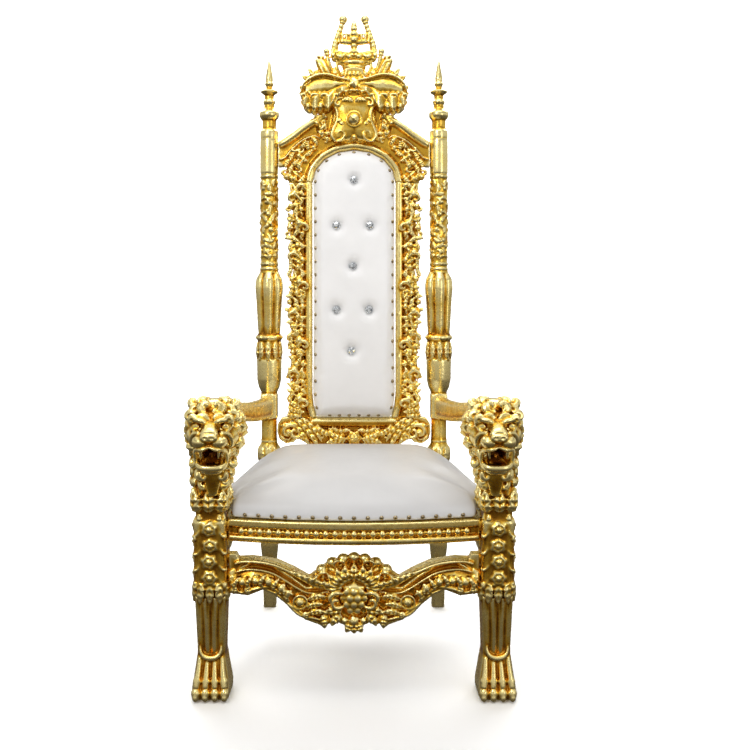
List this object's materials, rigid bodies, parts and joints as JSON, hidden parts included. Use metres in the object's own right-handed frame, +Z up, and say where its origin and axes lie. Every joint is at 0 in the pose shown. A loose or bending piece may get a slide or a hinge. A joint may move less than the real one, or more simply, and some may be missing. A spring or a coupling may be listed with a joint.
{
  "type": "throne armchair",
  "caption": "Tall gilded carved throne with a crown and mantle crest, lion-head arm fronts, paw feet, a beaded seat rail and white nailed upholstery with crystal buttons",
  "frame": {"origin": "middle of the throne's footprint on the floor", "axes": "the chair faces -Y, +X to the right of someone looking at its front, +Z up"},
  "size_m": [0.8168, 0.7668, 1.8014],
  "materials": {
    "gilded_wood": "gold leaf over carved wood, bright, darker in the hollows",
    "white_leather": "smooth white leatherette, low sheen",
    "crystal": "clear faceted crystal, polished"
  },
  "bodies": {
    "root": {"rear_post_left": "gilded_wood", "rear_post_right": "gilded_wood", "front_leg_left": "gilded_wood", "front_leg_right": "gilded_wood", "arm_left": "gilded_wood", "arm_right": "gilded_wood", "side_rail_left": "gilded_wood", "side_rail_right": "gilded_wood", "back_stile_left": "gilded_wood", "back_stile_right": "gilded_wood", "front_rail": "gilded_wood", "back_rail": "gilded_wood", "front_apron": "gilded_wood", "back_lower_rail": "gilded_wood", "crest_rail": "gilded_wood", "back_pad": "white_leather", "seat_cushion": "white_leather", "crystal_button_1": "crystal", "crystal_button_2": "crystal", "crystal_button_3": "crystal", "crystal_button_4": "crystal", "crystal_button_5": "crystal", "crystal_button_6": "crystal", "crystal_button_7": "crystal"}
  },
  "joints": []
}
